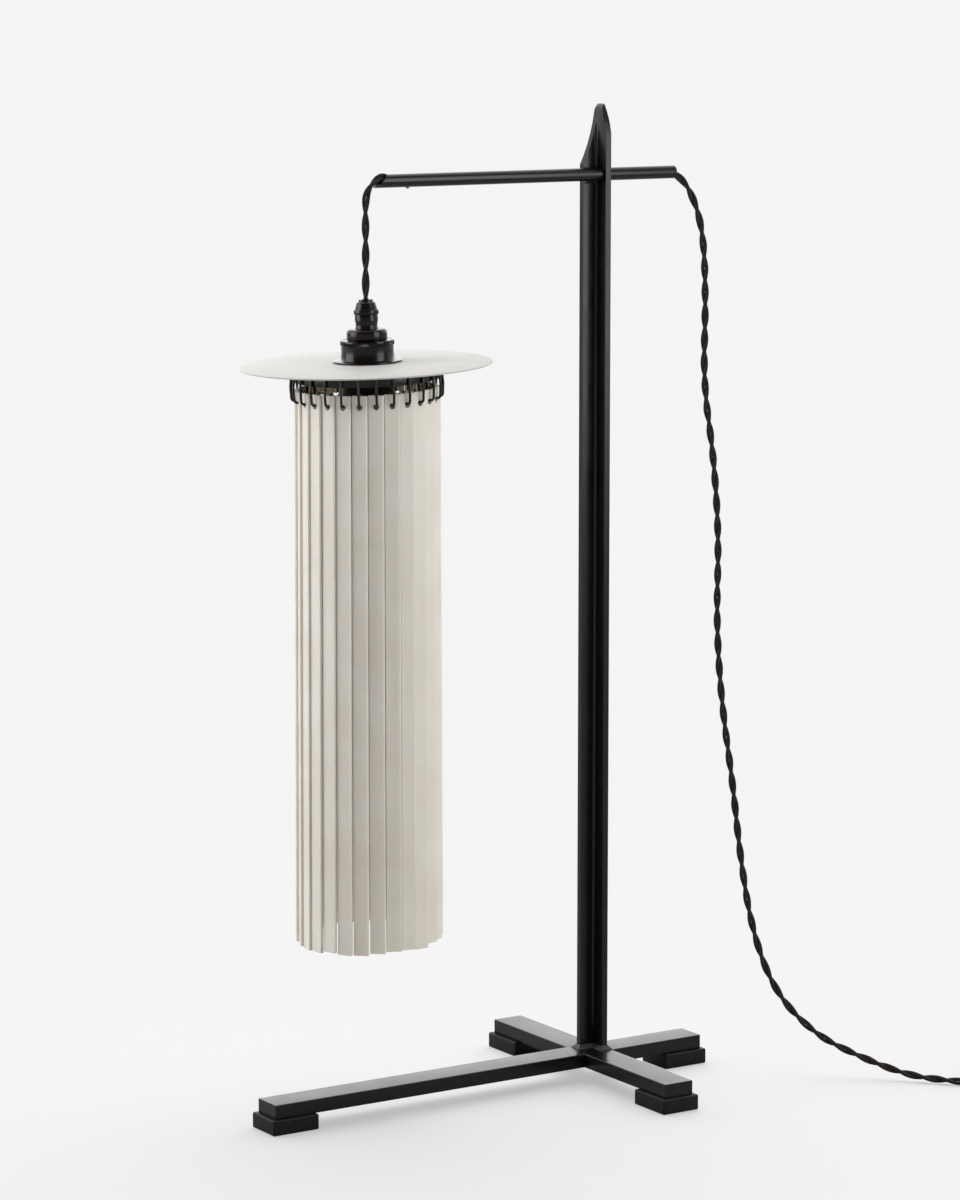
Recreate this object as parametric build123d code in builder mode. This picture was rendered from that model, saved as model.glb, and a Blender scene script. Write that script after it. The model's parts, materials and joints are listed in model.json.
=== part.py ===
from build123d import *
import math
import os

# Table lamp: a shade of porcelain strips that hangs by its cord from a welded steel stand.
# Millimetres, +Z up, with the table at Z 0. X runs along the long foot bar and the arm, and the
# shade hangs at -X. The origin is under the middle of the lamp, leaving out its supply cord.

# Clearances between pieces
seat_gap = 0.1
swing_gap = 0.4

# Stand: welded cross of flat bar
bar_width = 26.0
bar_height = 11.0
long_reach = 295.5
short_reach = 99.5
front_reach = 123.3
back_reach = 118.7
bar_edge = 0.6

# Rubber feet
foot_length = 40.0
foot_height = 12.0
foot_ledge = 3.6
foot_corner = 1.5
foot_edge = 0.8

# Mast: steel angle, open to the front left. Its tip is cut along two arcs on each leg, given
# as distances from the heel and below the top.
angle_leg = 17.5
angle_thickness = 5.0
angle_root = 2.0
heel_from_hub_x = 10.8
heel_from_hub_y = 7.7
mast_height = 748.0
tip_left_side = [(-17.5, -47.0), (-9.5, -28.0), (-4.4, -6.5)]
tip_left_point = [(-4.4, -6.5), (-3.0, -2.8), (0.5, 0.0)]
tip_right_side = [(-17.5, -22.5), (-13.8, -10.6), (-8.9, -1.6)]
tip_right_point = [(-8.9, -1.6), (-7.6, -0.5), (-5.5, 0.0)]
tip_spare = 5.0
weld_leg = 3.4
weld_slope = 42

# Arm: round tube through the right leg of the angle
tube_radius = 5.0
tube_bore = 4.0
tube_below_tip = 54.4
tube_right = 172.8
tube_left = -100.8
tube_slant = 10.4
grub_from_end = 29.4
grub_radius = 1.4
grub_proud = 1.0
grub_socket = 0.7
tube_weld_drop = 2.2

# Cord: two twisted cores in fabric, drawn here as their round outline
cord_diameter = 6.0
bend_radius = 11.0
bend_run = 2.0

# Head: everything that turns and swings with the lampholder, hung a little out of true
lamp_x = -108.4
drop_length = 87.6
lean = 2.0

# Lampholder, with depths below the cord entry
lip_radius = 5.4
lip_depth = 1.6
nut_top_radius = 7.0
nut_shoulder_depth = 2.4
nut_radius = 8.6
nut_depth = 7.6
collar_radius = 9.4
collar_depth = 11.0
grip_radius = 8.7
grip_waist = 8.1
grip_depth = 21.9
grip_groove = 6.0
grip_waist_up = 2.6
cap_radius = 15.2
cap_depth = 30.4
cap_round = 2.4
holder_radius = 18.3
holder_wall = 1.2
holder_plate = 2.0
holder_depth = 70.0
insert_depth = 44.4
shell_radius = 14.4
shell_wall = 0.8
shell_depth = 67.0

# Shade rings, which screw on the lampholder above and below the disc
rim_radius = 20.3
rim_depth = 34.0
skirt_radius = 19.7
skirt_foot_radius = 20.1
skirt_depth = 45.0
flange_radius = 25.9
flange_depth = 47.0
flange_thickness = 1.3
knurl_count = 48
knurl_size = 0.55
lower_flange_radius = 24.0
lower_flange_thickness = 1.5
lower_ring_depth = 72.0
lower_lip_radius = 17.0
lower_lip_thickness = 1.7

# Porcelain disc, which sits a little off the lampholder's axis with the pan
disc_radius = 95.0
disc_drop = 1.4
disc_hub_radius = 26.0
disc_hub_thickness = 3.5
disc_rim_thickness = 1.3
disc_rim_round = 0.5
disc_hole_gap = 1.8
disc_shift = -1.6

# Steel pan under the disc, and the wire hooks on its wall
pan_plate = 1.5
pan_wall = 2.0
pan_bottom_depth = 60.0
pan_seat_radius = 58.0
wire_radius = 1.0
wire_top_depth = 53.5
wire_top_out = 56.8
wire_bottom_out = 56.8
wire_bottom_in = 49.2
wire_bottom_depth = 74.3
wire_tail_in = 49.0
wire_tail_up = 9.6
wire_hook_bend = 2.6

# Porcelain strips
strip_count = 27
first_strip = 232.6
strip_circle = 52.5
strip_width = 11.7
strip_thickness = 2.8
strip_length = 422.3
strip_top_up = 8.0
strip_edge = 0.5
hole_radius = 2.2
hole_down = 0.7
strip_splay = 0.2
strip_yaw = -10.5
yaw_spread = 1.8
length_spread = 0.9

# Bulb with a 27 mm screw base
base_radius = 13.2
base_depth = 71.0
tip_radius = 4.5
tip_height = 2.0
neck_radius = 13.6
glass_radius = 30.0
glass_middle = 122.0

# Supply cord, from inside the arm's right end to where its put-away coil starts. Heights are
# shares of the way up from where the cord lies to the arm.
cord_lie = 0.1
supply_places = [
    (164.8, 0.0, 1.0),
    (175.0, 0.0, 0.9996),
    (190.0, -0.5, 0.9774),
    (200.5, -2.2, 0.934),
    (202.3, -3.8, 0.8576),
    (199.5, -5.0, 0.7679),
    (207.5, -9.0, 0.6838),
    (211.0, -12.0, 0.5927),
    (207.0, -15.0, 0.5016),
    (209.0, -20.0, 0.4105),
    (215.0, -28.0, 0.3194),
    (216.0, -38.0, 0.2353),
    (219.0, -51.0, 0.154),
    (227.0, -71.0, 0.0896),
    (248.5, -94.5, 0.0446),
    (276.2, -118.5, 0.0202),
    (303.6, -148.7, 0.0018),
    (329.0, -178.5, 0.0),
    (352.0, -206.5, 0.0),
]

# Put-away coil: two layers, the lower winding in and the upper out again
coil_radius = 40.0
coil_step = 3.6
coil_rise = 6.8
coil_inward_turns = 4
coil_last_turn = 120.5
lead_level = 10.0
lead_slope = 16.0

# Plug with two round pins
plug_length = 35.0
plug_width = 26.0
plug_height = 13.7
plug_waist = 17.0
relief_length = 22.0
relief_small = 3.9
relief_large = 5.6
pin_radius = 2.0
pin_length = 19.0
pin_spacing = 19.0

# Places worked out from the sizes above
hub_x = (long_reach - short_reach) / 2
hub_y = (front_reach - back_reach) / 2
base_top_z = foot_height + bar_height
heel_x = hub_x + heel_from_hub_x
heel_y = hub_y + heel_from_hub_y
inner_face_x = heel_x - angle_thickness
inner_face_y = heel_y - angle_thickness
mast_top_z = base_top_z + mast_height
tube_y = inner_face_y - tube_radius - seat_gap / 2
tube_z = mast_top_z - tube_below_tip
cord_entry = tube_z - drop_length
cord_radius = cord_diameter / 2
lie_z = cord_radius + cord_lie
supply_route = [(x, y, lie_z + share * (tube_z - lie_z)) for x, y, share in supply_places]
bend_x = lamp_x + bend_radius
bend_z = tube_z - bend_radius
thread_radius = holder_radius + seat_gap
insert_top = cap_depth + holder_plate + seat_gap
shell_top = insert_depth + seat_gap
disc_hole = holder_radius + disc_hole_gap
disc_top = flange_depth + seat_gap
disc_bottom = disc_top + disc_hub_thickness
pan_top = disc_bottom + seat_gap
pan_radius = wire_top_out - wire_radius - seat_gap
lower_ring_top = pan_top + pan_plate + seat_gap
base_top = shell_top + tip_height + seat_gap
glass_bottom = glass_middle + glass_radius
glass_swell = glass_radius - neck_radius
glass_fall = glass_middle - base_depth - seat_gap
glass_side = (glass_swell**2 + glass_fall**2) / (2 * glass_swell)
strip_step = 360 / strip_count
lean_angle = math.radians(lean)
head = Plane(
    origin=(lamp_x, tube_y, cord_entry),
    x_dir=(math.cos(lean_angle), 0, math.sin(lean_angle)),
    z_dir=(-math.sin(lean_angle), 0, math.cos(lean_angle)),
)
head_section = Plane(origin=head.origin, x_dir=head.x_dir, z_dir=-head.y_dir)
head_axis = Axis(head.origin, head.z_dir)
shade_origin = head.origin + head.x_dir * disc_shift
shade_section = Plane(origin=shade_origin, x_dir=head.x_dir, z_dir=-head.y_dir)
shade_axis = Axis(shade_origin, head.z_dir)

os.makedirs("parts", exist_ok=True)


def keep(piece, name):
    """Labels a finished piece and writes it to its own file."""
    piece.part.label = name
    export_step(piece.part, f"parts/{name}.step")


def bend_radii(points):
    """The largest radius that the two runs at each corner of a route allow."""
    corners = [Vector(point) for point in points]
    radii = []
    for before, corner, after in zip(corners, corners[1:], corners[2:]):
        run_in = corner - before
        run_out = after - corner
        half_turn = math.radians(run_in.get_angle(run_out)) / 2
        radii.append(0.45 * min(run_in.length, run_out.length) / math.tan(half_turn))
    return radii


def heading(degrees):
    """The level direction at this angle from X."""
    return Vector(math.cos(math.radians(degrees)), math.sin(math.radians(degrees)), 0)


def arm_of_cross(reach, side):
    """A side arm's plan, from the long bar's side to its own end."""
    with Locations((hub_x, hub_y + side * (reach + bar_width / 2) / 2)):
        Rectangle(bar_width, reach - bar_width / 2)


def least_gap(wire, diameter, apart):
    """The least gap between stretches of a round tube that lie further than this apart along it."""
    count = round(wire.length / 2)
    points = [wire.position_at(index / count) for index in range(count + 1)]
    least = wire.length
    for index, point in enumerate(points):
        for other in points[index + round(apart / 2):]:
            least = min(least, (point - other).length - diameter)
    return least


def around_tip(first, last):
    """The way round the steel that is cut off the mast's tip, clear of it."""
    side = last[0] - tip_spare
    Polyline(first, (first[0], tip_spare), (side, tip_spare), (side, last[1]), last)


def section(*profile):
    """Half of a turned piece's section, from points of radius and depth."""
    Polygon(*[(radius, -depth) for radius, depth in profile], align=None)


# Long foot bar
with BuildPart() as base_long_bar:
    with BuildSketch(Plane.XY.offset(foot_height)):
        with Locations((hub_x + (short_reach - long_reach) / 2, hub_y)):
            Rectangle(long_reach + short_reach, bar_width)
    extrude(amount=bar_height)
    fillet(base_long_bar.edges().filter_by(Axis.X), bar_edge)
keep(base_long_bar, "base_long_bar")

# Front arm of the cross, welded to the side of the long bar
with BuildPart() as base_front_arm:
    with BuildSketch(Plane.XY.offset(foot_height)):
        arm_of_cross(front_reach, -1)
    extrude(amount=bar_height)
    fillet(base_front_arm.edges().filter_by(Axis.Y), bar_edge)
keep(base_front_arm, "base_front_arm")

# Back arm of the cross
with BuildPart() as base_back_arm:
    with BuildSketch(Plane.XY.offset(foot_height)):
        arm_of_cross(back_reach, 1)
    extrude(amount=bar_height)
    fillet(base_back_arm.edges().filter_by(Axis.Y), bar_edge)
keep(base_back_arm, "base_back_arm")

# Four rubber feet, a little wider than the bars
foot_inset = foot_length / 2 - foot_ledge
foot_places = {
    "foot_left": (hub_x - long_reach + foot_inset, hub_y, 0),
    "foot_right": (hub_x + short_reach - foot_inset, hub_y, 0),
    "foot_front": (hub_x, hub_y - front_reach + foot_inset, 90),
    "foot_back": (hub_x, hub_y + back_reach - foot_inset, 90),
}
for foot_name, (foot_x, foot_y, foot_turn) in foot_places.items():
    with BuildPart() as foot:
        with BuildSketch():
            with Locations(Location((foot_x, foot_y), foot_turn)):
                RectangleRounded(foot_length, bar_width + 2 * foot_ledge, foot_corner)
        extrude(amount=foot_height)
        chamfer(foot.faces().filter_by(Plane.XY).edges(), foot_edge)
    keep(foot, foot_name)

# Section of the mast's steel angle
with BuildSketch(Plane.XY.offset(base_top_z)) as angle_section:
    Polygon(
        (heel_x, heel_y),
        (heel_x - angle_leg, heel_y),
        (heel_x - angle_leg, inner_face_y),
        (inner_face_x, inner_face_y),
        (inner_face_x, heel_y - angle_leg),
        (heel_x, heel_y - angle_leg),
        align=None,
    )
    inner_corner = (inner_face_x, inner_face_y, base_top_z)
    fillet(angle_section.vertices().sort_by_distance(inner_corner)[0], angle_root)

# Mast: the angle's two legs, cut to a leaf-like point at the heel
tip_left = Plane(origin=(heel_x, heel_y + 1, mast_top_z), x_dir=(1, 0, 0), z_dir=(0, -1, 0))
tip_right = Plane(origin=(heel_x + 1, heel_y, mast_top_z), x_dir=(0, 1, 0), z_dir=(1, 0, 0))
with BuildPart() as mast:
    extrude(angle_section.sketch, amount=mast_height)
    with BuildSketch(tip_left):
        with BuildLine():
            ThreePointArc(*tip_left_side)
            ThreePointArc(*tip_left_point)
            around_tip(tip_left_point[-1], tip_left_side[0])
        make_face()
    extrude(amount=angle_leg + 2, mode=Mode.SUBTRACT)
    with BuildSketch(tip_right):
        with BuildLine():
            ThreePointArc(*tip_right_side)
            ThreePointArc(*tip_right_point)
            around_tip(tip_right_point[-1], tip_right_side[0])
        make_face()
    extrude(amount=-angle_leg - 2, mode=Mode.SUBTRACT)
    with BuildSketch(Plane.YZ.offset(inner_face_x - angle_root - 1)):
        with Locations((tube_y, tube_z)):
            Circle(tube_radius + seat_gap / 2)
    extrude(amount=angle_root + angle_thickness + 2, mode=Mode.SUBTRACT)
keep(mast, "mast")

# Fillet weld round the mast's foot
with BuildPart() as foot_weld:
    with BuildSketch(Plane.XY.offset(base_top_z)):
        add(angle_section.sketch_local)
        offset(amount=weld_leg, kind=Kind.INTERSECTION)
    extrude(amount=weld_leg, taper=weld_slope)
    extrude(angle_section.sketch, amount=weld_leg, mode=Mode.SUBTRACT)
keep(foot_weld, "foot_weld")

# Weld under the tube, on the inside of the mast's left leg
with BuildPart() as tube_weld:
    with BuildSketch(Plane.YZ.offset(heel_x - angle_leg)):
        with BuildLine():
            Polyline(
                (inner_face_y, tube_z),
                (inner_face_y, tube_z - tube_radius - tube_weld_drop),
                (tube_y, tube_z - tube_radius),
                (tube_y, tube_z),
                close=True,
            )
        make_face()
        with Locations((tube_y, tube_z)):
            Circle(tube_radius, mode=Mode.SUBTRACT)
    extrude(amount=angle_leg - angle_thickness - angle_root)
keep(tube_weld, "tube_weld")

# Arm tube, cut square at the right and on a slant at the left
with BuildPart() as arm_tube:
    with BuildSketch(Plane.YZ.offset(tube_left)):
        with Locations((tube_y, tube_z)):
            Circle(tube_radius)
            Circle(tube_bore, mode=Mode.SUBTRACT)
    extrude(amount=tube_right - tube_left)
    slant = Plane(
        origin=(tube_left, tube_y, tube_z - tube_radius),
        x_dir=(0, 1, 0),
        z_dir=(2 * tube_radius, 0, -tube_slant),
    )
    split(bisect_by=slant, keep=Keep.TOP)
    with BuildSketch(Plane.XY.offset(tube_z - tube_radius - 1)):
        with Locations((tube_left + grub_from_end, tube_y)):
            Circle(grub_radius + seat_gap / 2)
    extrude(amount=tube_radius, mode=Mode.SUBTRACT)
keep(arm_tube, "arm_tube")

# Grub screw that holds the cord in the tube
with BuildPart() as grub_screw:
    with BuildSketch(Plane.XY.offset(tube_z - tube_radius - grub_proud)):
        with Locations((tube_left + grub_from_end, tube_y)):
            Circle(grub_radius)
    extrude(amount=tube_radius + grub_proud - cord_radius - seat_gap)
    with BuildSketch(grub_screw.faces().sort_by(Axis.Z)[0]):
        RegularPolygon(grub_socket, 6)
    extrude(amount=-grub_proud, mode=Mode.SUBTRACT)
keep(grub_screw, "grub_screw")

# Cord inside the tube
cord_mid_end = supply_route[0][0] - seat_gap
with BuildPart() as cord_in_tube:
    with BuildSketch(Plane.YZ.offset(bend_x + bend_run + swing_gap)):
        with Locations((tube_y, tube_z)):
            Circle(cord_radius)
    extrude(amount=cord_mid_end - bend_x - bend_run - swing_gap)
keep(cord_in_tube, "cord_in_tube")

# Cord over the lip, which turns on the tube's line as the head swings sideways
with BuildPart() as cord_bend:
    with BuildLine(Plane.XZ.offset(-tube_y)) as bend_line:
        Line((bend_x + bend_run, tube_z), (bend_x, tube_z))
        JernArc(start=(bend_x, tube_z), tangent=(-1, 0), radius=bend_radius, arc_size=90)
    with BuildSketch(Plane(origin=bend_line.line @ 0, z_dir=bend_line.line % 0)):
        Circle(cord_radius)
    sweep()
keep(cord_bend, "cord_bend")

# Cord from the lip down to the lampholder
with BuildPart() as cord_drop:
    with BuildSketch(Plane.XY.offset(cord_entry + swing_gap)):
        with Locations((lamp_x, tube_y)):
            Circle(cord_radius)
    extrude(amount=bend_z - cord_entry - 2 * swing_gap)
keep(cord_drop, "cord_drop")

# Nut and collar of the cord grip
with BuildPart() as grip_nut:
    with BuildSketch(head_section):
        section(
            (0, 0),
            (lip_radius, 0),
            (lip_radius, lip_depth),
            (nut_top_radius, nut_shoulder_depth),
            (nut_radius, nut_depth),
            (collar_radius, nut_depth),
            (collar_radius, collar_depth),
            (0, collar_depth),
        )
    revolve(axis=head_axis)
keep(grip_nut, "grip_nut")

# Grip body, drawn in at its waist
with BuildPart() as grip_body:
    with BuildSketch(head_section):
        with BuildLine():
            Line((0, -collar_depth - seat_gap), (grip_radius, -collar_depth - seat_gap))
            Line((grip_radius, -collar_depth - seat_gap), (grip_radius, -grip_depth + grip_groove))
            ThreePointArc(
                (grip_radius, -grip_depth + grip_groove),
                (grip_waist, -grip_depth + grip_waist_up),
                (grip_radius, -grip_depth),
            )
            Line((grip_radius, -grip_depth), (0, -grip_depth))
            Line((0, -grip_depth), (0, -collar_depth - seat_gap))
        make_face()
    revolve(axis=head_axis)
keep(grip_body, "grip_body")

# Cap of the lampholder
with BuildPart() as holder_cap:
    with BuildSketch(head.offset(-cap_depth)):
        Circle(cap_radius)
    extrude(amount=cap_depth - grip_depth - seat_gap)
    fillet(holder_cap.edges().filter_by(GeomType.CIRCLE).sort_by(Axis.Z)[-1], cap_round)
keep(holder_cap, "holder_cap")

# Threaded body of the lampholder, open below
with BuildPart() as holder_body:
    with BuildSketch(head_section):
        section(
            (0, cap_depth + seat_gap),
            (holder_radius, cap_depth + seat_gap),
            (holder_radius, holder_depth),
            (holder_radius - holder_wall, holder_depth),
            (holder_radius - holder_wall, cap_depth + holder_plate),
            (0, cap_depth + holder_plate),
        )
    revolve(axis=head_axis)
keep(holder_body, "holder_body")

# Insulating insert that carries the contacts
with BuildPart() as holder_insert:
    with BuildSketch(head.offset(-insert_depth)):
        Circle(holder_radius - holder_wall - seat_gap)
    extrude(amount=insert_depth - insert_top)
keep(holder_insert, "holder_insert")

# Screw shell for the bulb
with BuildPart() as screw_shell:
    with BuildSketch(head.offset(-shell_depth)):
        Circle(shell_radius)
        Circle(shell_radius - shell_wall, mode=Mode.SUBTRACT)
    extrude(amount=shell_depth - shell_top)
keep(screw_shell, "screw_shell")

# Upper shade ring, with its knurled rim
with BuildPart() as upper_ring:
    with BuildSketch(head_section):
        section(
            (thread_radius, cap_depth),
            (rim_radius, cap_depth),
            (rim_radius, rim_depth),
            (skirt_radius, rim_depth),
            (skirt_foot_radius, skirt_depth),
            (flange_radius, flange_depth - flange_thickness),
            (flange_radius, flange_depth),
            (thread_radius, flange_depth),
        )
    revolve(axis=head_axis)
    with BuildSketch(head.offset(-rim_depth)):
        with PolarLocations(rim_radius, knurl_count):
            RegularPolygon(knurl_size, 4)
    extrude(amount=rim_depth - cap_depth, mode=Mode.SUBTRACT)
keep(upper_ring, "upper_ring")

# Lower shade ring, which holds the disc and the pan from below
with BuildPart() as lower_ring:
    with BuildSketch(head_section):
        section(
            (thread_radius, lower_ring_top),
            (lower_flange_radius, lower_ring_top),
            (lower_flange_radius, lower_ring_top + lower_flange_thickness),
            (skirt_radius, lower_ring_top + lower_flange_thickness),
            (skirt_radius, lower_ring_depth),
            (lower_lip_radius, lower_ring_depth),
            (lower_lip_radius, lower_ring_depth - lower_lip_thickness),
            (thread_radius, lower_ring_depth - lower_lip_thickness),
        )
    revolve(axis=head_axis)
keep(lower_ring, "lower_ring")

# Disc over the shade, lower at its rim than at its hub
with BuildPart() as disc:
    with BuildSketch(shade_section) as disc_section:
        with BuildLine():
            Polyline(
                (disc_hole, -disc_top),
                (disc_hub_radius, -disc_top),
                (disc_radius, -disc_top - disc_drop),
                (disc_radius, -disc_top - disc_drop - disc_rim_thickness),
                (pan_seat_radius, -disc_bottom),
                (disc_hole, -disc_bottom),
                close=True,
            )
        make_face()
        rim_corners = disc_section.vertices().group_by(Axis.X)[-1]
        fillet(rim_corners, disc_rim_round)
    revolve(axis=shade_axis)
keep(disc, "disc")

# Pan that the hooks are welded to
with BuildPart() as hook_pan:
    with BuildSketch(shade_section):
        section(
            (disc_hole, pan_top),
            (pan_radius, pan_top),
            (pan_radius, pan_bottom_depth),
            (pan_radius - pan_wall, pan_bottom_depth),
            (pan_radius - pan_wall, pan_top + pan_plate),
            (disc_hole, pan_top + pan_plate),
        )
    revolve(axis=shade_axis)
keep(hook_pan, "hook_pan")

# Wire hooks round the pan
with BuildPart() as hooks:
    for index in range(strip_count):
        hook_turn = math.radians(first_strip + index * strip_step)
        outward = head.x_dir * math.cos(hook_turn) + head.y_dir * math.sin(hook_turn)
        hook_plane = Plane(origin=shade_origin, x_dir=outward, z_dir=outward.cross(head.z_dir))
        with BuildLine(hook_plane) as wire:
            FilletPolyline(
                (wire_top_out, -wire_top_depth),
                (wire_bottom_out, -wire_bottom_depth),
                (wire_bottom_in, -wire_bottom_depth),
                (wire_tail_in, -wire_bottom_depth + wire_tail_up),
                radius=wire_hook_bend,
            )
        with BuildSketch(Plane(origin=wire.line @ 0, z_dir=wire.line % 0)):
            Circle(wire_radius)
        sweep()
keep(hooks, "hooks")

# Strips: each hangs upright on its hook, a little turned and spread by chance
for index in range(strip_count):
    around = first_strip + index * strip_step
    hook_turn = math.radians(around)
    outward = head.x_dir * math.cos(hook_turn) + head.y_dir * math.sin(hook_turn)
    seat = shade_origin + outward * strip_circle - head.z_dir * wire_bottom_depth
    chance = math.sin(2.4 * index * index + 1)
    strip_turn = around + strip_yaw + yaw_spread * chance
    facing = heading(strip_turn) + Vector(0, 0, math.tan(math.radians(strip_splay)))
    strip_face = Plane(origin=seat, x_dir=heading(strip_turn + 90), z_dir=facing)
    with BuildPart() as strip:
        with BuildSketch(strip_face.offset(-strip_thickness / 2)):
            this_length = strip_length + length_spread * chance
            with Locations((0, strip_top_up - this_length / 2)):
                Rectangle(strip_width, this_length)
        extrude(amount=strip_thickness)
        long_edges = strip.edges().group_by(SortBy.LENGTH)[-1]
        fillet(long_edges, strip_edge)
        with BuildSketch(strip_face.offset(-strip_thickness)):
            with Locations((0, -hole_down)):
                Circle(hole_radius)
        extrude(amount=2 * strip_thickness, mode=Mode.SUBTRACT)
    keep(strip, f"strip_{index + 1:02d}")

# Screw base of the bulb, with its contact
with BuildPart() as bulb_base:
    with BuildSketch(head_section):
        section(
            (0, shell_top + seat_gap),
            (tip_radius, shell_top + seat_gap),
            (base_radius, base_top),
            (base_radius, base_depth),
            (0, base_depth),
        )
    revolve(axis=head_axis)
keep(bulb_base, "bulb_base")

# Glass of the bulb
with BuildPart() as bulb_glass:
    with BuildSketch(head_section):
        with BuildLine():
            Line((0, -base_depth - seat_gap), (neck_radius, -base_depth - seat_gap))
            RadiusArc((neck_radius, -base_depth - seat_gap), (glass_radius, -glass_middle), glass_side)
            RadiusArc((glass_radius, -glass_middle), (0, -glass_bottom), glass_radius)
            Line((0, -glass_bottom), (0, -base_depth - seat_gap))
        make_face()
    revolve(axis=head_axis)
keep(bulb_glass, "bulb_glass")

# Supply cord: straight runs joined by tangent arcs
with BuildPart() as supply_cord:
    supply_radii = bend_radii(supply_route)
    with BuildLine() as supply_line:
        FilletPolyline(*supply_route, radius=supply_radii)
    with BuildSketch(Plane(origin=supply_line.line @ 0, z_dir=supply_line.line % 0)):
        Circle(cord_radius)
    sweep()
keep(supply_cord, "supply_cord")
supply_length = supply_line.wires()[0].length

# Put-away coil: half turns, one tilted half turn that climbs, and a lead down to the plug
route_end = Vector(*supply_route[-1])
coil_run = (route_end - Vector(*supply_route[-2])).normalized()
coil_heading = math.degrees(math.atan2(coil_run.Y, coil_run.X))
ahead = heading(coil_heading)
across = heading(coil_heading + 90)
inward = [coil_radius - step * coil_step for step in range(coil_inward_turns)]
climb_radius = coil_radius - coil_inward_turns * coil_step
outward_turns = list(reversed(inward))[:-1]
rise = Vector(0, 0, coil_rise)
with BuildPart() as supply_coil:
    with BuildLine() as coil_line:
        coil_start = route_end + coil_run * seat_gap
        here = coil_start + coil_run * cord_diameter
        Line(coil_start, here)
        side = 1
        for radius in inward + [climb_radius] + outward_turns:
            chord = across * (2 * radius * side)
            if radius == climb_radius:
                chord = chord + rise
            middle = here + chord / 2 + ahead * (side * chord.length / 2)
            ThreePointArc(here, middle, here + chord)
            here = here + chord
            side = -side
        last_centre = here + across * coil_radius
        halfway = coil_heading - 90 + coil_last_turn / 2
        lead_heading = coil_heading + coil_last_turn
        ThreePointArc(
            here,
            last_centre + heading(halfway) * coil_radius,
            last_centre + heading(lead_heading - 90) * coil_radius,
        )
        lead_start = last_centre + heading(lead_heading - 90) * coil_radius
        lead = heading(lead_heading)
        lead_drop = Vector(0, 0, plug_height / 2 - lead_start.Z)
        lead_points = [
            lead_start,
            lead_start + lead * lead_level,
            lead_start + lead * (lead_level + lead_slope) + lead_drop,
            lead_start + lead * (2 * lead_level + lead_slope) + lead_drop,
        ]
        FilletPolyline(*lead_points, radius=bend_radii(lead_points))
    with BuildSketch(Plane(origin=coil_start, z_dir=coil_run)):
        Circle(cord_radius)
    sweep()
keep(supply_coil, "supply_coil")
coil_length = coil_line.wires()[0].length
coil_gap = least_gap(coil_line.wires()[0], cord_diameter, 5 * cord_diameter)

# Plug: a flat body drawn in at its waist, with a tapered cord relief
plug_seat = lead_points[-1] + lead * seat_gap
plug_plan = Plane(origin=(plug_seat.X, plug_seat.Y, 0), x_dir=lead, z_dir=(0, 0, 1))
plug_end = Plane(origin=plug_seat, x_dir=heading(lead_heading + 90), z_dir=lead)
with BuildPart() as plug_body:
    with BuildSketch(plug_plan):
        with BuildLine():
            half_waist = plug_waist / 2
            half_width = plug_width / 2
            body_start = relief_length
            body_end = relief_length + plug_length
            Line((body_start, -half_waist), (body_start, half_waist))
            Spline(
                (body_start, half_waist),
                (body_start + plug_length / 2, half_width),
                tangents=[(1, 0.3), (1, 0)],
            )
            Line((body_start + plug_length / 2, half_width), (body_end, half_width))
            Line((body_end, half_width), (body_end, -half_width))
            Line((body_end, -half_width), (body_start + plug_length / 2, -half_width))
            Spline(
                (body_start + plug_length / 2, -half_width),
                (body_start, -half_waist),
                tangents=[(-1, 0), (-1, 0.3)],
            )
        make_face()
    extrude(amount=plug_height)
    with BuildSketch(plug_end):
        Circle(relief_small)
    with BuildSketch(plug_end.offset(relief_length + 1)):
        Circle(relief_large)
    loft()
keep(plug_body, "plug_body")

# Two round pins
with BuildPart() as plug_pins:
    with BuildSketch(plug_end.offset(relief_length + plug_length + seat_gap)):
        with GridLocations(pin_spacing, 1, 2, 1):
            Circle(pin_radius)
    extrude(amount=pin_length)
keep(plug_pins, "plug_pins")

print("supply cord radii", [round(radius, 1) for radius in supply_radii])
print("supply cord length", round(supply_length, 1), "coil and lead length", round(coil_length, 1))
print("least gap between the coil's turns", round(coil_gap, 2))
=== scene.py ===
import json
import math

import bmesh
import bpy
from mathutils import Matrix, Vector

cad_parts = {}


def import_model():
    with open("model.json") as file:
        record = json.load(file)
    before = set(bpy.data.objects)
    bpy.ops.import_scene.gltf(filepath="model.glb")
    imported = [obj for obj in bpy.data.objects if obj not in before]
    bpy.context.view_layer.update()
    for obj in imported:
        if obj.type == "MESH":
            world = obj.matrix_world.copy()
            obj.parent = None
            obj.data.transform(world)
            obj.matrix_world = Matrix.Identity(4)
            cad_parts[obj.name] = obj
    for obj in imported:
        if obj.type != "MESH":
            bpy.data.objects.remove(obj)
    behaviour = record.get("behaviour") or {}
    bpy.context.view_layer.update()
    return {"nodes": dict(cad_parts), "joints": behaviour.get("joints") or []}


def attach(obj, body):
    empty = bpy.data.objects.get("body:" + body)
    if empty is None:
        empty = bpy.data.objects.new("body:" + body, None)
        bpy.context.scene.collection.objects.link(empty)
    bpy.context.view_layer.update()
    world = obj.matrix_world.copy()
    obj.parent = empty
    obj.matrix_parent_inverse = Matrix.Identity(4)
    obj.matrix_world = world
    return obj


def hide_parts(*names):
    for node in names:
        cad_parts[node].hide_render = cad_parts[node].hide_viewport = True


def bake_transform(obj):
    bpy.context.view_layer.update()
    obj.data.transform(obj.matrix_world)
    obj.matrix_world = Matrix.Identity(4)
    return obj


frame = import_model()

# Table lamp: porcelain strips hung round a lampholder, on a welded steel stand.
# The scene is in metres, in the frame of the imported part. Routes and profiles are in millimetres
# and become metres when the pieces are built.
mm = 0.001

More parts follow.
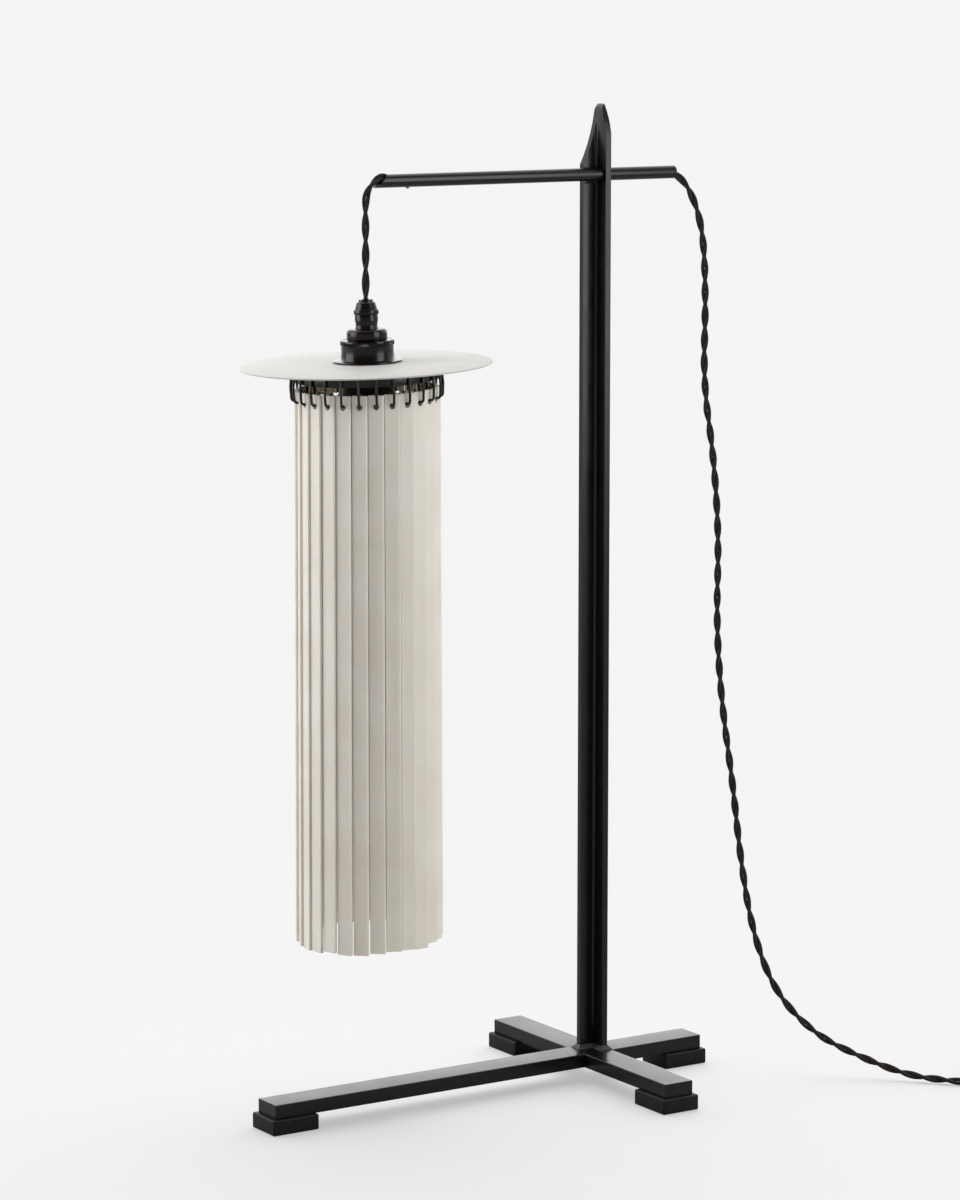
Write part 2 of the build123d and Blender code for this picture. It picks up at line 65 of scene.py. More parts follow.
# Camera, found from the straight edges in the photograph
camera_place = Vector((-1734.9, -2687.8, 876.3)) * mm
camera_heading = 57.26
camera_pitch = 8.6
focal_pixels = 4199.0
image_width = 960.0
sensor_width = 36.0

# Places taken from the frame
joints = {joint["name"]: joint for joint in frame["joints"]}
arm_line = Vector(joints["swing_sideways"]["pos_m"])
grip_top = Vector(joints["twist_on_cord"]["pos_m"])

# Cord: two twisted cores, with the length of a full turn and the angle at which each twist starts
cord_width = 6 * mm
core_width = 3 * mm
supply_twist = 37.4 * mm
supply_phase = 1.6
drop_twist = 42.0 * mm
drop_phase = 3.77
cord_step = 1.6 * mm
core_sides = 10
threads_along = 0.5
threads_round = 0.35

# Cord over the arm's mouth, with heights from the arm's line
mouth_route = [
    (-80.0, 0.0, 0.0),
    (-87.5, 0.0, 1.0),
    (-93.5, 0.0, 3.6),
    (-99.5, 0.0, 0.8),
    (-105.5, 0.0, -5.4),
    (-108.4, 0.0, -13.0),
    (-108.2, 0.0, -40.0),
    (-108.4, 0.0, -89.6),
]

# Where the arm's cord stops inside the mouth, and its end in the grip
stop_in_arm = 6 * mm
end_in_grip = 2 * mm

# Lampholder axis, a little out of true. The disc and the pan sit off it to one side.
swing_gap = 0.4 * mm
lean = math.radians(2.0)
cord_entry = grip_top - Vector((0, 0, swing_gap / 2))
head_up = Vector((-math.sin(lean), 0, math.cos(lean)))
head_right = Vector((math.cos(lean), 0, math.sin(lean)))
head_back = head_up.cross(head_right)
shade_shift = head_right * -1.6 * mm

# Supply cord: the route of its free stretch, then the coil that is put away outside the view
supply_route = [
    (164.8, 0.0, 716.6),
    (175.0, 0.0, 716.3),
    (190.0, -0.5, 700.5),
    (200.5, -2.2, 669.5),
    (202.3, -3.8, 615.0),
    (199.5, -5.0, 551.0),
    (207.5, -9.0, 491.0),
    (211.0, -12.0, 426.0),
    (207.0, -15.0, 361.0),
    (209.0, -20.0, 296.0),
    (215.0, -28.0, 231.0),
    (216.0, -38.0, 171.0),
    (219.0, -51.0, 113.0),
    (227.0, -71.0, 67.0),
    (248.5, -94.5, 34.9),
    (276.2, -118.5, 17.5),
    (303.6, -148.7, 4.4),
    (329.0, -178.5, 3.1),
    (352.0, -206.5, 3.1),
]
coil_radius = 40.0
coil_step = 3.6
coil_rise = 6.8
coil_inward_turns = 4
coil_last_turn = 120.5
coil_points = 8
lead_level = 10.0
lead_slope = 16.0
plug_axis_height = 6.85

# Turned pieces: closed profiles of radius and depth below the cord's entry
grip_nut_profile = [
    (3.15, 0), (5.4, 0), (5.4, 1.6), (7.0, 2.4), (8.6, 7.6), (9.4, 7.7), (9.4, 11), (0.5, 11),
    (0.5, 4), (3.15, 4),
]
grip_body_profile = [
    (0.5, 11.1), (8.7, 11.1), (8.7, 15.9), (8.35, 17.4), (8.1, 19.3), (8.35, 20.8), (8.7, 21.9),
    (0.5, 21.9),
]
holder_cap_profile = [(0.5, 22), (12.8, 22), (14.5, 22.7), (15.2, 24.4), (15.2, 30.4), (0.5, 30.4)]
holder_body_profile = [(0.5, 30.5), (18.3, 30.5), (18.3, 70), (17.1, 70), (17.1, 32.4), (0.5, 32.4)]
upper_ring_profile = [
    (18.4, 30.4), (20.3, 30.4), (20.3, 31.9), (20.3, 34), (19.7, 34.2), (19.75, 40), (20.1, 45),
    (21.5, 45.5), (25.9, 45.7), (25.9, 47), (18.4, 47),
]
lower_ring_profile = [
    (18.4, 52.3), (24, 52.3), (24, 53.8), (19.7, 53.9), (19.7, 72), (17, 72), (17, 70.3),
    (18.4, 70.3),
]
disc_profile = [(20.1, 47.1), (26, 47.1), (60, 47.75), (95, 48.5), (95, 49.8), (58, 50.6), (20.1, 50.6)]
pan_profile = [(20.1, 50.7), (55.7, 50.7), (55.7, 60), (53.7, 60), (53.7, 52.2), (20.1, 52.2)]

# The most of an edge that a rounded corner may take
corner_share = 0.45

# Knurl of the upper ring: the depths it lies between, the radius it starts at and how deep it is cut
knurl_top = 31.7
knurl_bottom = 33.9
knurl_inside = 19.9
knurl_cut = 0.35

# Hooks and strips
strip_count = 27
first_hook = 232.6
hook_profile = [(56.5, 53.5), (57.4, 64.0), (56.8, 74.3), (49.2, 74.3), (49.0, 64.7)]
hook_bends = [8.0, 2.6, 2.6]
wire_radius = 1.0
wire_sides = 12

# Studio: the background's brightness, and the floor's with its reach in metres
background_level = 0.94
floor_shade = 0.55
floor_glow = 0.4
floor_reach = 300.0

# Light round the lamp: dim in front of it, bright behind it, with the turning points between as
# cosines of the angle from the camera's heading
studio_front = -0.4
studio_back = 1.0
studio_dim = 0.12
studio_bright = 1.85

# Light from above, which sets in at one sine of the height and is full at another
studio_top = 0.1
top_from = 0.3
top_full = 0.95

# Distance of the soft lamps at the sides, in metres
softbox_distance = 1.5


# Shader helpers

def material(name, colour, rough, metal=0.0, specular=0.5):
    """A new material with a plain base, returned with its nodes and its main shader."""
    made = bpy.data.materials.new(name)
    made.use_nodes = True
    nodes = made.node_tree.nodes
    shader = nodes["Principled BSDF"]
    shader.inputs["Base Color"].default_value = (*colour, 1)
    shader.inputs["Roughness"].default_value = rough
    shader.inputs["Metallic"].default_value = metal
    shader.inputs["Specular IOR Level"].default_value = specular
    return made, nodes, shader


def link(made, source, target):
    """Joins two sockets of a material."""
    made.node_tree.links.new(source, target)


def grain(made, nodes, scale, detail, stretch=(1, 1, 1)):
    """A noise texture's height over the object, stretched as asked."""
    place = nodes.new("ShaderNodeTexCoord")
    mapping = nodes.new("ShaderNodeMapping")
    texture = nodes.new("ShaderNodeTexNoise")
    mapping.inputs["Scale"].default_value = stretch
    texture.inputs["Scale"].default_value = scale
    texture.inputs["Detail"].default_value = detail
    link(made, place.outputs["Object"], mapping.inputs["Vector"])
    link(made, mapping.outputs["Vector"], texture.inputs["Vector"])
    return texture.outputs["Fac"]


def tint(made, nodes, shader, source, low, high, start=0.3, end=0.7):
    """Colours the surface between low and high as the source goes from start to end."""
    mix = nodes.new("ShaderNodeValToRGB")
    mix.color_ramp.elements[0].position = start
    mix.color_ramp.elements[0].color = (*low, 1)
    mix.color_ramp.elements[1].position = end
    mix.color_ramp.elements[1].color = (*high, 1)
    link(made, source, mix.inputs["Fac"])
    link(made, mix.outputs["Color"], shader.inputs["Base Color"])


def roughen(made, nodes, shader, source, low, high):
    """Gives the surface a roughness between low and high as the source goes up."""
    scale = nodes.new("ShaderNodeMapRange")
    scale.inputs["From Min"].default_value = 0.3
    scale.inputs["From Max"].default_value = 0.7
    scale.inputs["To Min"].default_value = low
    scale.inputs["To Max"].default_value = high
    link(made, source, scale.inputs["Value"])
    link(made, scale.outputs["Result"], shader.inputs["Roughness"])


def relief(made, nodes, shader, source, depth, strength):
    """Bumps the surface by the source's height."""
    bump = nodes.new("ShaderNodeBump")
    bump.inputs["Distance"].default_value = depth
    bump.inputs["Strength"].default_value = strength
    link(made, source, bump.inputs["Height"])
    link(made, bump.outputs["Normal"], shader.inputs["Normal"])


# Materials

def porcelain(name, low, high, rough, depth):
    """Unglazed porcelain: warm white, cloudy, with a fine tooth, and light passing to this depth."""
    made, nodes, shader = material(name, high, rough)
    shader.inputs["Subsurface Weight"].default_value = 0.6
    shader.inputs["Subsurface Radius"].default_value = (1.0, 0.88, 0.68)
    shader.inputs["Subsurface Scale"].default_value = depth
    cloud = grain(made, nodes, 26, 4)
    tint(made, nodes, shader, cloud, low, high)
    roughen(made, nodes, shader, cloud, rough - 0.06, rough + 0.08)
    relief(made, nodes, shader, grain(made, nodes, 900, 3), 0.05 * mm, 0.35)
    return made


def black_steel():
    """Bar and angle with a thin satin black coat over the mill's grain."""
    made, nodes, shader = material("black_steel", (0.004, 0.0038, 0.0036), 0.25, specular=0.38)
    patch = grain(made, nodes, 30, 5)
    tint(made, nodes, shader, patch, (0.003, 0.0028, 0.0026), (0.005, 0.0048, 0.0045))
    roughen(made, nodes, shader, patch, 0.21, 0.29)
    relief(made, nodes, shader, grain(made, nodes, 420, 4), 0.05 * mm, 0.15)
    return made


def weld_steel():
    """Weld bead: a lighter coat over a rippled, lumpy surface."""
    made, nodes, shader = material("weld_steel", (0.022, 0.02, 0.019), 0.42)
    lump = grain(made, nodes, 260, 2)
    tint(made, nodes, shader, lump, (0.015, 0.014, 0.013), (0.035, 0.032, 0.03))
    relief(made, nodes, shader, lump, 0.8 * mm, 0.8)
    return made


def dark_bronze():
    """The lampholder's glossy, nearly black bronze."""
    made, nodes, shader = material("dark_bronze", (0.006, 0.004, 0.0035), 0.18, specular=0.3)
    patch = grain(made, nodes, 60, 4)
    tint(made, nodes, shader, patch, (0.0015, 0.001, 0.0009), (0.009, 0.005, 0.0042))
    roughen(made, nodes, shader, patch, 0.13, 0.24)
    return made


def rubber():
    """Dull black rubber."""
    made, nodes, shader = material("foot_rubber", (0.006, 0.006, 0.006), 0.5, specular=0.25)
    patch = grain(made, nodes, 140, 4)
    tint(made, nodes, shader, patch, (0.004, 0.004, 0.004), (0.009, 0.0088, 0.0085))
    relief(made, nodes, shader, grain(made, nodes, 1400, 2), 0.06 * mm, 0.5)
    return made


def braid():
    """Fabric over a cord core: two sets of threads that cross on a slant, in dark brown."""
    made, nodes, shader = material("cord_fabric", (0.03, 0.02, 0.015), 0.85, specular=0.25)
    place = nodes.new("ShaderNodeTexCoord")
    over = nodes.new("ShaderNodeMath")
    over.operation = "MAXIMUM"
    for number, slant in enumerate((45, -45)):
        mapping = nodes.new("ShaderNodeMapping")
        mapping.inputs["Rotation"].default_value = (0, 0, math.radians(slant))
        wave = nodes.new("ShaderNodeTexWave")
        wave.inputs["Scale"].default_value = 1.0
        link(made, place.outputs["UV"], mapping.inputs["Vector"])
        link(made, mapping.outputs["Vector"], wave.inputs["Vector"])
        link(made, wave.outputs["Fac"], over.inputs[number])
    threads = over.outputs[0]
    tint(made, nodes, shader, threads, (0.005, 0.0036, 0.003), (0.026, 0.018, 0.014), 0.35, 0.95)
    relief(made, nodes, shader, threads, 0.25 * mm, 0.7)
    shader.inputs["Sheen Weight"].default_value = 0.12
    return made


def plain_metal(name, low, high, rough):
    """Bare metal with faint streaks."""
    made, nodes, shader = material(name, high, rough, metal=1.0)
    streak = grain(made, nodes, 90, 4, (1, 1, 0.2))
    tint(made, nodes, shader, streak, low, high)
    roughen(made, nodes, shader, streak, rough - 0.06, rough + 0.08)
    return made


def moulded(name, low, high, rough):
    """Moulded plastic or glazed insulator with a faint tooth."""
    made, nodes, shader = material(name, high, rough)
    tint(made, nodes, shader, grain(made, nodes, 80, 3), low, high)
    relief(made, nodes, shader, grain(made, nodes, 1200, 2), 0.03 * mm, 0.4)
    return made


def frosted_glass():
    """The bulb's frosted white glass."""
    made, nodes, shader = material("frosted_glass", (0.9, 0.9, 0.88), 0.35)
    tint(made, nodes, shader, grain(made, nodes, 50, 3), (0.86, 0.86, 0.84), (0.93, 0.93, 0.91))
    shader.inputs["Transmission Weight"].default_value = 0.35
    return made


strip_porcelain = porcelain("strip_porcelain", (0.79, 0.735, 0.65), (0.86, 0.81, 0.73), 0.5, 5 * mm)
# The disc's porcelain is painted much darker than the strips', so that its top, which faces the light
# from above, comes out dim: painted shade.
disc_porcelain_painted_shade = porcelain("disc_porcelain_painted_shade", (0.53, 0.518, 0.495), (0.56, 0.548, 0.525), 0.6, 0.5 * mm)
steel = black_steel()
weld = weld_steel()
bronze = dark_bronze()
foot_rubber = rubber()
fabric = braid()
brass = plain_metal("brass", (0.62, 0.45, 0.2), (0.75, 0.58, 0.3), 0.3)
bright_metal = plain_metal("bright_metal", (0.6, 0.6, 0.58), (0.75, 0.75, 0.73), 0.25)
screw_metal = plain_metal("screw_metal", (0.12, 0.12, 0.12), (0.25, 0.24, 0.23), 0.35)
insulator = moulded("insulator", (0.8, 0.79, 0.75), (0.88, 0.87, 0.84), 0.3)
plug_plastic = moulded("plug_plastic", (0.015, 0.015, 0.015), (0.03, 0.03, 0.03), 0.45)
bulb_white = frosted_glass()


# Mesh helpers

def placed(name, mesh):
    """An object for a mesh, put in the scene."""
    thing = bpy.data.objects.new(name, mesh)
    bpy.context.scene.collection.objects.link(thing)
    return thing


def piece(name, mesh, made, body, node, sharp=30):
    """A finished piece: smooth but for its sharp edges, riding on a body in place of a CAD node."""
    thing = placed(name, mesh)
    mesh.materials.clear()
    mesh.materials.append(made)
    mesh.shade_smooth()
    mesh.set_sharp_from_angle(angle=math.radians(sharp))
    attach(thing, body)
    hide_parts(node)
    return thing


def mesh_of(name, points, faces):
    """A mesh from points and faces, with its faces turned outwards."""
    mesh = bpy.data.meshes.new(name)
    mesh.from_pydata([tuple(point) for point in points], [], faces)
    tidy = bmesh.new()
    tidy.from_mesh(mesh)
    bmesh.ops.recalc_face_normals(tidy, faces=tidy.faces)
    tidy.to_mesh(mesh)
    tidy.free()
    return mesh


def on_head(radius, turn, depth, shift=Vector()):
    """The point at this radius, angle and depth below the cord's entry, off the axis by the shift."""
    side = head_right * math.cos(turn) + head_back * math.sin(turn)
    return cord_entry + shift + (side * radius - head_up * depth) * mm


def softened(profile, size):
    """The profile with each corner cut to a small curve of three points."""
    result = []
    count = len(profile)
    for index, corner in enumerate(profile):
        corner = Vector(corner)
        before = Vector(profile[index - 1]) - corner
        after = Vector(profile[(index + 1) % count]) - corner
        start = corner + before.normalized() * min(size, before.length * corner_share)
        end = corner + after.normalized() * min(size, after.length * corner_share)
        result += [start, (start + end) / 4 + corner / 2, end]
    return result


def knurled(radius, depth, step):
    """The radius at this step round the ring, drawn in at every second step of the knurl."""
    if step % 2 and knurl_top <= depth <= knurl_bottom and radius > knurl_inside:
        return radius - knurl_cut
    return radius


def lathe(node, profile, made, soft=0.25, steps=96, knurl=False, shift=Vector()):
    """A piece turned round the lampholder's axis from a closed profile of radius and depth."""
    points = softened(profile, soft)
    rings = len(points)
    places = []
    for step in range(steps):
        turn = 2 * math.pi * step / steps
        for radius, depth in points:
            reach = knurled(radius, depth, step) if knurl else radius
            places.append(on_head(reach, turn, depth, shift))
    faces = []
    for step in range(steps):
        here = step * rings
        there = (step + 1) % steps * rings
        for ring in range(rings):
            up = (ring + 1) % rings
            faces.append((here + ring, there + ring, there + up, here + up))
    name = node + "_finished"
    mesh = mesh_of(name, places, faces)
    tidy = bmesh.new()
    tidy.from_mesh(mesh)
    bmesh.ops.remove_doubles(tidy, verts=tidy.verts, dist=0.001 * mm)
    bmesh.ops.dissolve_degenerate(tidy, edges=tidy.edges, dist=0.0005 * mm)
    tidy.to_mesh(mesh)
    tidy.free()
    piece(name, mesh, made, "lamp_head", node)


def filleted(points, bends, steps=6):
    """A line through the points, with its corners rounded to the radii."""
    points = [Vector(point) for point in points]
    line = [points[0]]
    for before, corner, after, bend in zip(points, points[1:], points[2:], bends):
        inward = (before - corner).normalized()
        outward = (after - corner).normalized()
        half = inward.angle(outward) / 2
        reach = bend / math.tan(half)
        middle = corner + (inward + outward).normalized() * bend / math.sin(half)
        start = corner + inward * reach - middle
        end = corner + outward * reach - middle
        for step in range(steps + 1):
            line.append(middle + start.slerp(end, step / steps) * bend)
    line.append(points[-1])
    return line


def frames_along(line):
    """For each point of a line: the point, and two square directions that don't twist along it."""
    result = []
    ahead = (line[1] - line[0]).normalized()
    across = ahead.orthogonal().normalized()
    for index, point in enumerate(line):
        low = line[max(index - 1, 0)]
        high = line[min(index + 1, len(line) - 1)]
        turned = (high - low).normalized()
        across = (ahead.rotation_difference(turned) @ across).normalized()
        ahead = turned
        result.append((point, across, ahead.cross(across)))
    return result


def tube(places, faces, line, radius, sides):
    """Adds a round tube along a line, closed at both ends, to lists of points and faces."""
    first = len(places)
    for point, across, over in frames_along(line):
        for side in range(sides):
            turn = 2 * math.pi * side / sides
            places.append(point + (across * math.cos(turn) + over * math.sin(turn)) * radius)
    last = len(places) - sides
    for here in range(first, last, sides):
        for side in range(sides):
            after = (side + 1) % sides
            faces.append((here + side, here + after, here + sides + after, here + sides + side))
    faces.append(tuple(first + side for side in reversed(range(sides))))
    faces.append(tuple(last + side for side in range(sides)))


def smooth_line(points):
    """The points of the smooth curve that a route's points control."""
    curve = bpy.data.curves.new("route", "CURVE")
    curve.dimensions = "3D"
    curve.resolution_u = 16
    spline = curve.splines.new("NURBS")
    spline.points.add(len(points) - 1)
    for place, point in zip(spline.points, points):
        place.co = (*(Vector(point) * mm), 1)
    spline.order_u = 3
    spline.use_endpoint_u = True
    carrier = placed("route", curve)
    mesh = bpy.data.meshes.new_from_object(carrier)
    line = [vertex.co.copy() for vertex in mesh.vertices]
    bpy.data.objects.remove(carrier)
    bpy.data.curves.remove(curve)
    bpy.data.meshes.remove(mesh)
    return line


def even_line(line):
    """The same line with its points a steady step apart."""
    lengths = [0.0]
    for here, there in zip(line, line[1:]):
        lengths.append(lengths[-1] + (there - here).length)
    count = max(2, round(lengths[-1] / cord_step))
    result = []
    index = 0
    for number in range(count + 1):
        wanted = lengths[-1] * number / count
        while index < len(line) - 2 and lengths[index + 1] < wanted:
            index += 1
        share = (wanted - lengths[index]) / (lengths[index + 1] - lengths[index])
        result.append(line[index].lerp(line[index + 1], share))
    return result


def weave_places(mesh, rings):
    """Texture places on a cord's mesh, so that its threads run evenly along and round each core."""
    weave = mesh.uv_layers.new(name="weave")
    for loop in mesh.loops:
        ring, side = divmod(loop.vertex_index % (rings * core_sides), core_sides)
        weave.data[loop.index].uv = (ring * threads_along, side * threads_round)


def twisted(name, line, twist, phase):
    """Two fabric cores wound round each other along a line."""
    cores = ([], [])
    along = 0.0
    before = line[0]
    for point, across, over in frames_along(line):
        along += (point - before).length
        before = point
        for core, half in zip(cores, (0, math.pi)):
            turn = phase + half + 2 * math.pi * along / twist
            core.append(point + (across * math.cos(turn) + over * math.sin(turn)) * core_width / 2)
    places, faces = [], []
    for core in cores:
        tube(places, faces, core, core_width / 2, core_sides)
    mesh = mesh_of(name, places, faces)
    weave_places(mesh, len(line))
    mesh.materials.append(fabric)
    mesh.shade_smooth()
    thing = placed(name, mesh)
    return thing


# The camera and the cords

def level_heading(degrees):
    """The level direction at this angle from X."""
    return Vector((math.cos(math.radians(degrees)), math.sin(math.radians(degrees)), 0))


def camera():
    """The camera at the photograph's place and angle."""
    data = bpy.data.cameras.new("camera")
    data.sensor_fit = "HORIZONTAL"
    data.sensor_width = sensor_width
    data.lens = sensor_width * focal_pixels / image_width
    data.clip_end = 1000
    thing = placed("camera", data)
    pitch = math.radians(camera_pitch)
    look = level_heading(camera_heading) * math.cos(pitch) - Vector((0, 0, math.sin(pitch)))
    thing.rotation_euler = look.to_track_quat("-Z", "Y").to_euler()
    thing.location = camera_place
    bpy.context.scene.camera = thing


def coil_route():
    """The coil's points: half turns that wind in, one that climbs, half turns out, and the lead."""
    start = Vector(supply_route[-1])
    run = start - Vector(supply_route[-2])
    course = math.degrees(math.atan2(run.y, run.x))
    across = level_heading(course + 90)
    inward = [coil_radius - step * coil_step for step in range(coil_inward_turns)]
    climb = coil_radius - coil_inward_turns * coil_step
    here = start + run.normalized() * cord_width / mm
    points = [here]
    side = 1
    for radius in inward + [climb] + inward[:0:-1]:
        rise = coil_rise if radius == climb else 0.0
        centre = here + across * radius * side
        for step in range(1, coil_points + 1):
            share = step / coil_points
            spot = centre + level_heading(course - 90 + 180 * share) * radius * side
            spot.z = here.z + rise * (1 - math.cos(math.pi * share)) / 2
            points.append(spot)
        here = points[-1]
        side = -side
    centre = here + across * coil_radius
    steps = round(coil_points * coil_last_turn / 180)
    for step in range(1, steps + 1):
        spot = centre + level_heading(course - 90 + coil_last_turn * step / steps) * coil_radius
        spot.z = here.z
        points.append(spot)
    lead = level_heading(course + coil_last_turn)
    end = points[-1]
    down = Vector((0, 0, plug_axis_height - end.z))
    points.append(end + lead * lead_level)
    points.append(end + lead * (lead_level + lead_slope) + down)
    points.append(end + lead * (2 * lead_level + lead_slope) + down)
    return points


def supply_cord():
    """The twisted lead from the arm to its plug."""
    line = even_line(smooth_line(supply_route + [tuple(point) for point in coil_route()]))
    lead = twisted("supply_lead", line, supply_twist, supply_phase)
    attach(lead, "stand")
    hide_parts("supply_cord", "supply_coil")


def arm_cord():
    """The stretch of cord inside the arm."""
    arm_end = Vector((supply_route[0][0] * mm, 0, arm_line.z))
    inside = Vector((arm_line.x + stop_in_arm, 0, arm_line.z))
    held = twisted("cord_in_arm", even_line([arm_end, inside]), drop_twist, 0.0)
    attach(held, "stand")
    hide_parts("cord_in_tube")


def drop_cord():
    """The cord over the arm's mouth and down into the lampholder."""
    over = smooth_line([(x, y, z + arm_line.z / mm) for x, y, z in mouth_route])
    over[-1] = cord_entry - Vector((0, 0, end_in_grip))
    drop = twisted("lamp_drop_cord", even_line(over), drop_twist, drop_phase)
    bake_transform(drop)
    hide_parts("cord_bend", "cord_drop")


def plug():
    """The plug's own surfaces."""
    for node, made in (("plug_body", plug_plastic), ("plug_pins", brass)):
        mesh = frame["nodes"][node].data
        mesh.materials.clear()
        mesh.materials.append(made)


# The stand and the head

def refined(node, made, edge, body="stand", sharp=30):
    """A copy of a CAD node with flat faces joined and its sharp edges rounded."""
    mesh = frame["nodes"][node].data.copy()
    tidy = bmesh.new()
    tidy.from_mesh(mesh)
    bmesh.ops.remove_doubles(tidy, verts=tidy.verts, dist=0.002 * mm)
    bmesh.ops.dissolve_limit(tidy, angle_limit=math.radians(0.5), verts=tidy.verts, edges=tidy.edges)
    tidy.to_mesh(mesh)
    tidy.free()
    thing = piece(node + "_finished", mesh, made, body, node, sharp=sharp)
    rounding = thing.modifiers.new("rounding", "BEVEL")
    rounding.width = edge
    rounding.segments = 3
    rounding.limit_method = "ANGLE"
    rounding.angle_limit = math.radians(40)
    rounding.harden_normals = True


def stand():
    """Bars, feet, mast, welds, arm and screw."""
    for node in ("base_long_bar", "base_front_arm", "base_back_arm"):
        refined(node, steel, 0.3 * mm)
    refined("mast", steel, 0.35 * mm)
    for node in ("foot_left", "foot_right", "foot_front", "foot_back"):
        refined(node, foot_rubber, 0.5 * mm)
    refined("foot_weld", weld, 0.8 * mm)
    refined("tube_weld", weld, 0.5 * mm)
    refined("arm_tube", steel, 0.15 * mm)
    refined("grub_screw", screw_metal, 0.1 * mm)


def lampholder():
    """The grip, cap, body and rings of the lampholder."""
    lathe("grip_nut", grip_nut_profile, bronze)
    lathe("grip_body", grip_body_profile, bronze, soft=0.4)
    lathe("holder_cap", holder_cap_profile, bronze, soft=0.6)
    lathe("holder_body", holder_body_profile, bronze)
    lathe("upper_ring", upper_ring_profile, bronze, steps=240, knurl=True)
    lathe("lower_ring", lower_ring_profile, bronze)


def disc_and_pan():
    """The porcelain disc and the black pan under it."""
    lathe("disc", disc_profile, disc_porcelain_painted_shade, soft=0.6, steps=192, shift=shade_shift)
    lathe("hook_pan", pan_profile, steel, soft=0.6, steps=144, shift=shade_shift)


def hidden_parts():
    """The lampholder's inside and the bulb, which the strips hide."""
    refined("holder_insert", insulator, 0.3 * mm, "lamp_head")
    refined("screw_shell", brass, 0.1 * mm, "lamp_head")
    refined("bulb_base", bright_metal, 0.3 * mm, "lamp_head")
    refined("bulb_glass", bulb_white, 0.3 * mm, "lamp_head", sharp=60)


def hooks():
    """The wire hooks round the pan."""
    places, faces = [], []
    profile = filleted(hook_profile, hook_bends)
    for index in range(strip_count):
        turn = math.radians(first_hook + 360 * index / strip_count)
        line = [on_head(radius, turn, depth, shade_shift) for radius, depth in profile]
        tube(places, faces, line, wire_radius * mm, wire_sides)
    mesh = mesh_of("hooks_finished", places, faces)
    piece("hooks_finished", mesh, steel, "lamp_head", "hooks", sharp=50)


def strips():
    """The porcelain strips, each on its own body."""
    for number in range(1, strip_count + 1):
        node = f"strip_{number:02d}"
        refined(node, strip_porcelain, 0.3 * mm, "hung_" + node)


# Floor, background and light

def floor_paint():
    """White paint that also glows for the camera alone, so that it meets the background."""
    made = bpy.data.materials.new("floor_white")
    made.use_nodes = True
    nodes = made.node_tree.nodes
    nodes.clear()
    output = nodes.new("ShaderNodeOutputMaterial")
    paint = nodes.new("ShaderNodeBsdfDiffuse")
    paint.inputs["Color"].default_value = (floor_shade, floor_shade, floor_shade, 1)
    glow = nodes.new("ShaderNodeEmission")
    rays = nodes.new("ShaderNodeLightPath")
    lift = nodes.new("ShaderNodeMath")
    lift.operation = "MULTIPLY"
    lift.inputs[1].default_value = floor_glow
    both = nodes.new("ShaderNodeAddShader")
    link(made, rays.outputs["Is Camera Ray"], lift.inputs[0])
    link(made, lift.outputs[0], glow.inputs["Strength"])
    link(made, paint.outputs[0], both.inputs[0])
    link(made, glow.outputs[0], both.inputs[1])
    link(made, both.outputs[0], output.inputs["Surface"])
    return made


def floor():
    """A pale floor that reaches past the view."""
    mesh = bpy.data.meshes.new("floor")
    corners = [(x * floor_reach, y * floor_reach, 0) for x, y in ((-1, -1), (1, -1), (1, 1), (-1, 1))]
    mesh.from_pydata(corners, [], [(0, 1, 2, 3)])
    mesh.materials.append(floor_paint())
    ground = placed("floor", mesh)
    return ground


def rising(nodes, start, end, low, high):
    """A node that goes smoothly from low to high as its input goes from start to end."""
    node = nodes.new("ShaderNodeMapRange")
    node.interpolation_type = "SMOOTHSTEP"
    node.inputs["From Min"].default_value = start
    node.inputs["From Max"].default_value = end
    node.inputs["To Min"].default_value = low
    node.inputs["To Max"].default_value = high
    return node


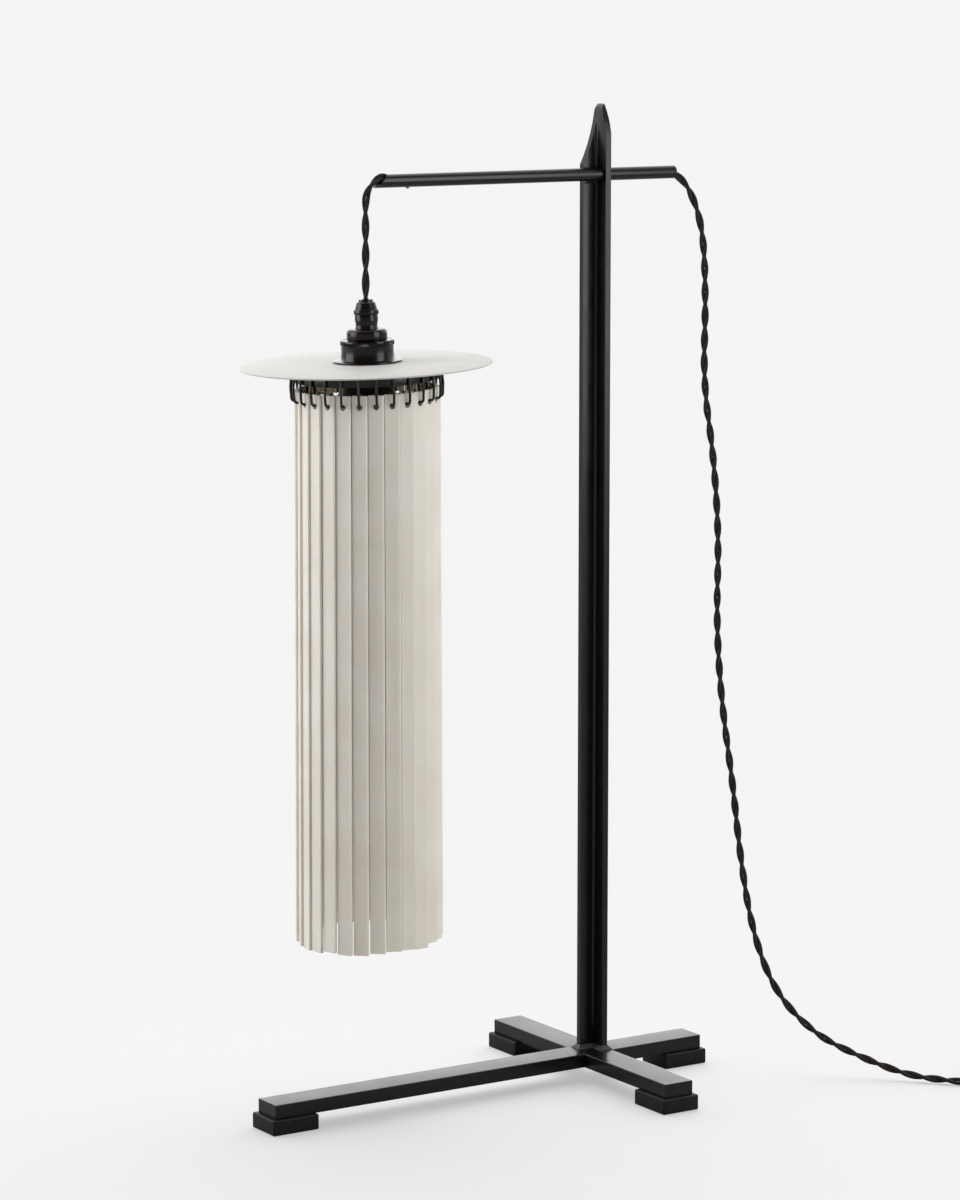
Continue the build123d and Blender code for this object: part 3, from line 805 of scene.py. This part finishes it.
def world():
    """A studio that is bright behind the lamp and dim in front of it, with some light from above."""
    made = bpy.data.worlds.new("studio")
    made.use_nodes = True
    nodes = made.node_tree.nodes
    backdrop = nodes["Background"]
    backdrop.inputs["Color"].default_value = (1, 1, 1, 1)
    place = nodes.new("ShaderNodeTexCoord")
    behind = nodes.new("ShaderNodeVectorMath")
    behind.operation = "DOT_PRODUCT"
    behind.inputs[1].default_value = level_heading(camera_heading)
    around = rising(nodes, studio_front, studio_back, studio_dim, studio_bright)
    apart = nodes.new("ShaderNodeSeparateXYZ")
    above = rising(nodes, top_from, top_full, 0.0, studio_top)
    total = nodes.new("ShaderNodeMath")
    rays = nodes.new("ShaderNodeLightPath")
    shown = nodes.new("ShaderNodeMix")
    shown.inputs["B"].default_value = background_level
    link(made, place.outputs["Generated"], behind.inputs[0])
    link(made, behind.outputs["Value"], around.inputs["Value"])
    link(made, place.outputs["Generated"], apart.inputs[0])
    link(made, apart.outputs["Z"], above.inputs["Value"])
    link(made, around.outputs["Result"], total.inputs[0])
    link(made, above.outputs["Result"], total.inputs[1])
    link(made, rays.outputs["Is Camera Ray"], shown.inputs["Factor"])
    link(made, total.outputs[0], shown.inputs["A"])
    link(made, shown.outputs["Result"], backdrop.inputs["Strength"])
    bpy.context.scene.world = made


def softbox(name, ground, heading, height, wide, tall, brightness):
    """An upright soft lamp at this heading in degrees, in metres, that leaves the floor unlit."""
    data = bpy.data.lights.new(name, "AREA")
    data.shape = "RECTANGLE"
    data.size = wide
    data.size_y = tall
    data.energy = brightness * wide * tall * math.pi
    thing = placed(name, data)
    thing.location = level_heading(heading) * softbox_distance + Vector((0, 0, height))
    thing.rotation_euler = level_heading(heading).to_track_quat("Z", "Y").to_euler()
    thing.visible_camera = False
    spared = bpy.data.collections.new(name + "_spares_floor")
    spared.objects.link(ground)
    spared.collection_objects[0].light_linking.link_state = "EXCLUDE"
    thing.light_linking.receiver_collection = spared


def sun(name, heading, height, strength, softness):
    """A soft distant lamp that shines from this heading and height, in degrees."""
    data = bpy.data.lights.new(name, "SUN")
    data.energy = strength
    data.angle = math.radians(softness)
    thing = placed(name, data)
    level = math.cos(math.radians(height))
    towards = level_heading(heading) * level + Vector((0, 0, math.sin(math.radians(height))))
    thing.rotation_euler = towards.to_track_quat("Z", "Y").to_euler()


def studio():
    """The floor, the background and the lamps."""
    ground = floor()
    world()
    sun("top_lamp", 57, 78, 0.6, 50)
    softbox("left_box", ground, 155, 1.05, 1.0, 1.4, 3.9)
    softbox("right_box", ground, -66, 1.02, 0.85, 1.35, 3.9)
    bpy.context.scene.view_settings.view_transform = "Standard"


camera()
supply_cord()
arm_cord()
drop_cord()
plug()
stand()
lampholder()
disc_and_pan()
hidden_parts()
hooks()
strips()
studio()
